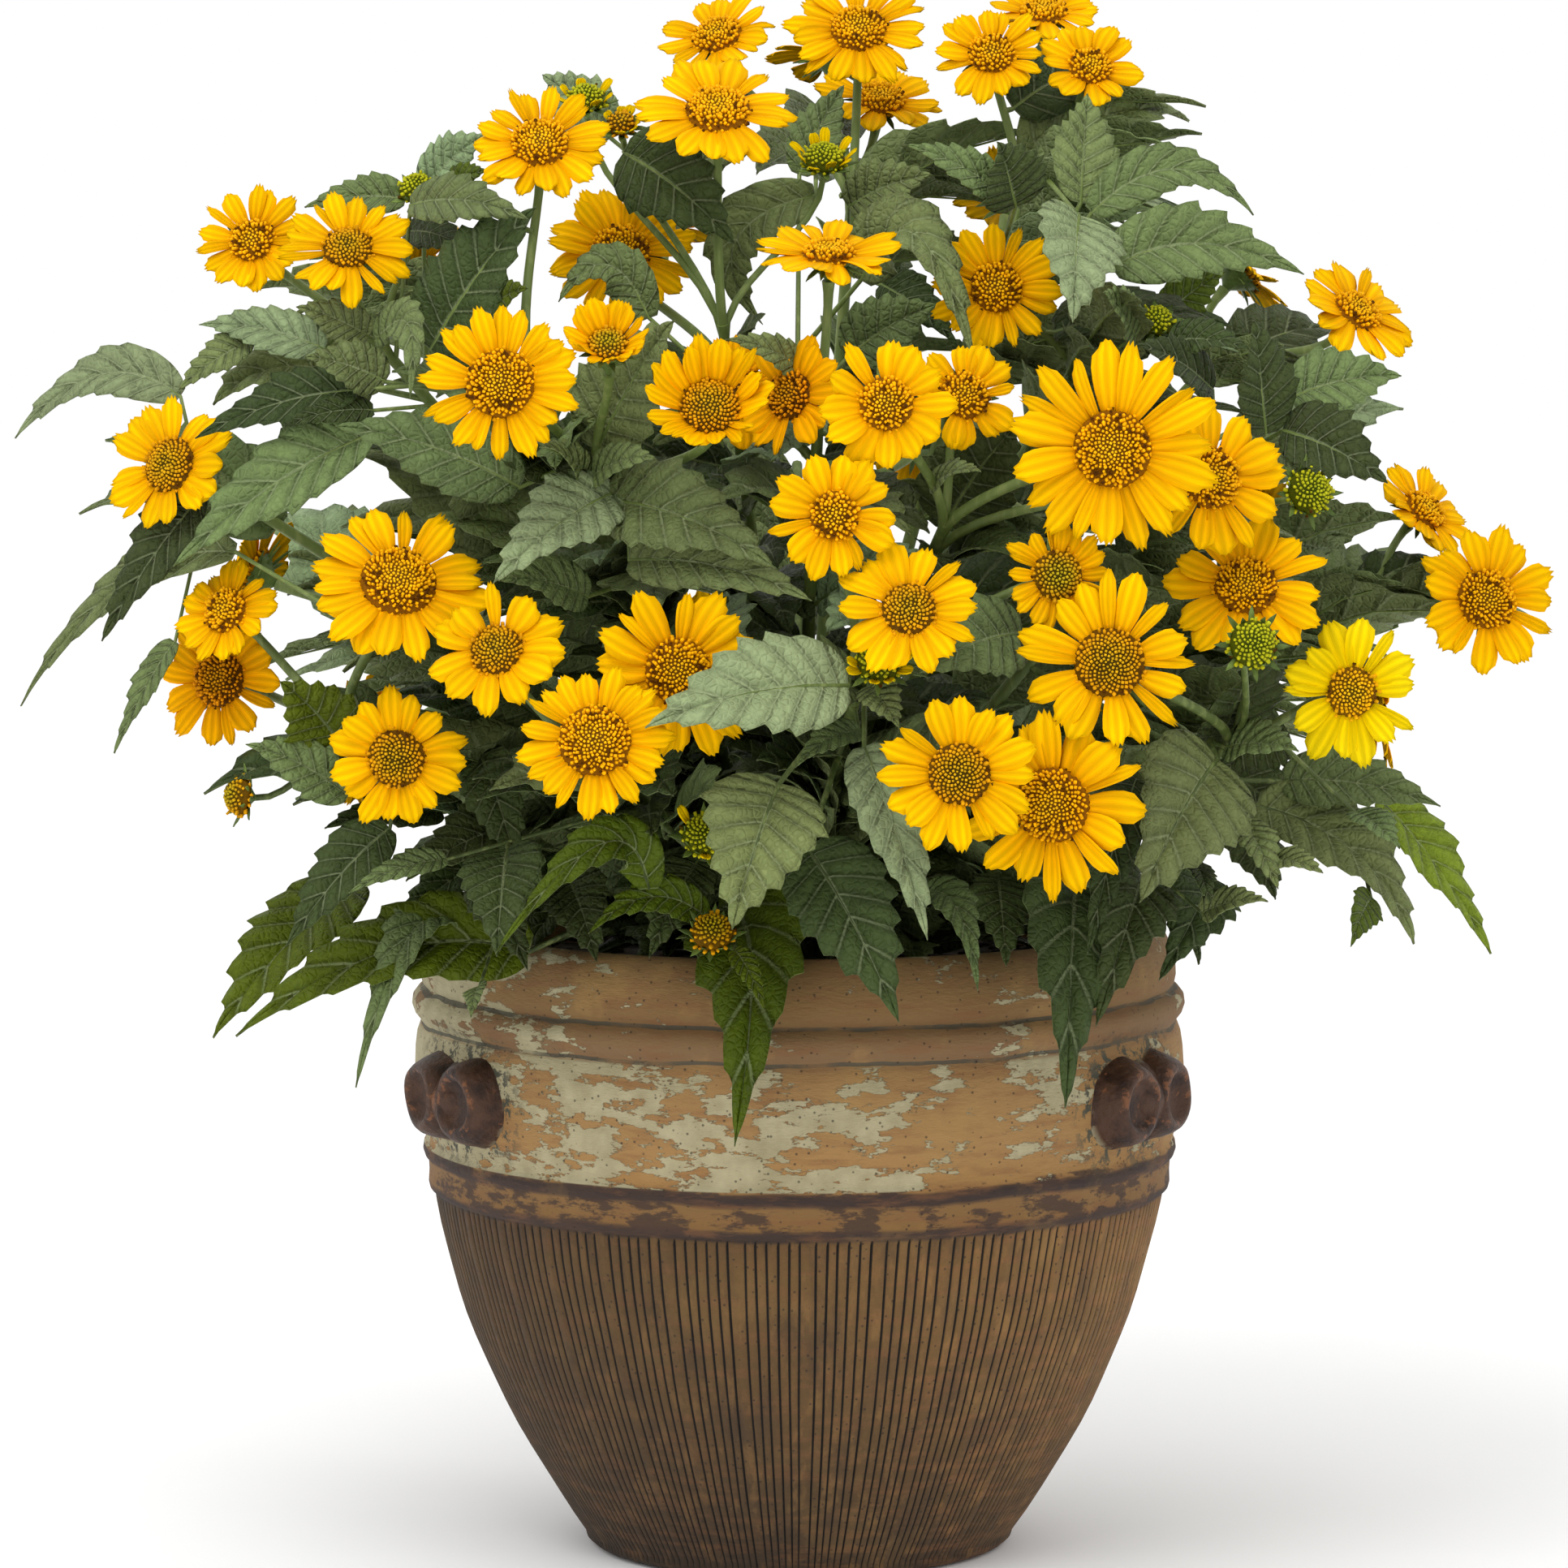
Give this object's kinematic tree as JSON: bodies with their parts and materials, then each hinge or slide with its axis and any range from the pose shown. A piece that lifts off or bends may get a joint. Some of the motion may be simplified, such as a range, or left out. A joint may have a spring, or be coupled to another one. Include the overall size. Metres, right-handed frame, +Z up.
{
  "type": "potted tuscan sun false sunflower",
  "caption": "Bushy garden perennial with yellow daisy flower heads and toothed leaves, growing in a round terracotta pot with a combed body and thumb-pressed lugs.",
  "frame": {"origin": "middle of the pot's flat base, on the surface that it stands on", "axes": "+Z up through the pot, -Y towards the side that the picture shows, +X to that viewer's right"},
  "size_m": [0.6271, 0.5075, 0.6528],
  "materials": {
    "terracotta": "hand-made fired clay, matt, worn whitewash on the collar",
    "potting_soil": "dark crumbly bark compost, matt",
    "foliage": "living leaf and stem, slightly rough, matt to satin",
    "flower": "soft living petal, satin, with an orange-brown disc"
  },
  "bodies": {
    "root": {"pot": "terracotta", "soil": "potting_soil", "leafy_stems": "foliage", "flower_head_01": "flower", "flower_head_02": "flower", "flower_head_03": "flower", "flower_head_04": "flower", "flower_head_05": "flower", "flower_head_06": "flower", "flower_head_07": "flower", "flower_head_08": "flower", "flower_head_09": "flower", "flower_head_10": "flower", "flower_head_11": "flower", "flower_head_12": "flower", "flower_head_13": "flower", "flower_head_14": "flower", "flower_head_15": "flower", "flower_head_16": "flower", "flower_head_17": "flower", "flower_head_18": "flower", "flower_head_19": "flower", "flower_head_20": "flower", "flower_head_21": "flower", "flower_head_22": "flower", "flower_head_23": "flower", "flower_head_24": "flower", "flower_head_25": "flower", "flower_head_26": "flower", "flower_head_27": "flower", "flower_head_28": "flower", "flower_head_29": "flower", "flower_head_30": "flower", "flower_head_31": "flower", "flower_head_32": "flower", "flower_head_33": "flower", "flower_head_34": "flower", "flower_head_35": "flower", "flower_head_36": "flower", "flower_head_37": "flower", "flower_head_38": "flower", "flower_head_39": "flower", "flower_head_40": "flower", "flower_head_41": "flower", "flower_head_42": "flower", "flower_head_43": "flower", "flower_head_44": "flower", "flower_head_45": "flower", "flower_head_46": "flower", "flower_head_47": "flower", "flower_head_48": "flower", "flower_head_49": "flower", "flower_head_50": "flower", "flower_head_51": "flower", "flower_head_52": "flower", "flower_head_53": "flower", "flower_head_54": "flower", "flower_head_55": "flower", "flower_head_56": "flower"}
  },
  "joints": []
}
